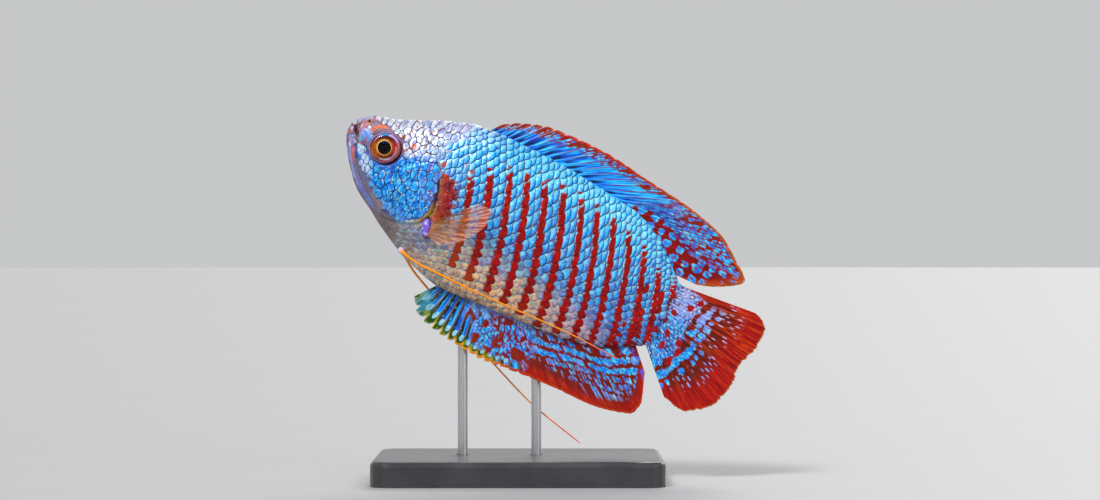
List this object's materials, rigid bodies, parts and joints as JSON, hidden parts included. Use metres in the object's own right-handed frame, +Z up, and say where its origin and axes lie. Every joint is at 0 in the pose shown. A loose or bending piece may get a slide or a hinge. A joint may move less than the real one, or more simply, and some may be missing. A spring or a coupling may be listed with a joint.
{
  "type": "dwarf gourami display model",
  "caption": "Life-size male dwarf gourami, head up on a plain stand: deep flat body, long ridged dorsal and anal fins, rounded tail and thread-like pelvic feelers.",
  "frame": {"origin": "on the surface that the stand rests on, below the middle of the whole part", "axes": "+Z up; the fish faces -X with its left side towards -Y, its body axis pitched 29 degrees head up"},
  "size_m": [0.0673, 0.034, 0.0583],
  "materials": {
    "scaled_skin": "wet scales, sky blue with dark red bars",
    "fin": "thin glossy membrane, red with blue spots",
    "clear_fin": "nearly clear membrane with amber rays",
    "feeler": "smooth orange thread",
    "eye": "clear gloss over an amber iris",
    "stand_plate": "satin black acrylic",
    "stand_rod": "brushed"
  },
  "bodies": {
    "root": {"head": "scaled_skin", "gill_cover_left": "scaled_skin", "gill_cover_right": "scaled_skin", "trunk": "scaled_skin", "tail_base": "scaled_skin", "eye_left": "eye", "eye_right": "eye", "dorsal_fin": "fin", "anal_fin": "fin", "caudal_fin": "fin", "pectoral_fin_left": "clear_fin", "pectoral_fin_right": "clear_fin", "pelvic_feeler_left": "feeler", "pelvic_feeler_right": "feeler", "stand_base": "stand_plate", "stand_rod_front": "stand_rod", "stand_rod_rear": "stand_rod"}
  },
  "joints": []
}
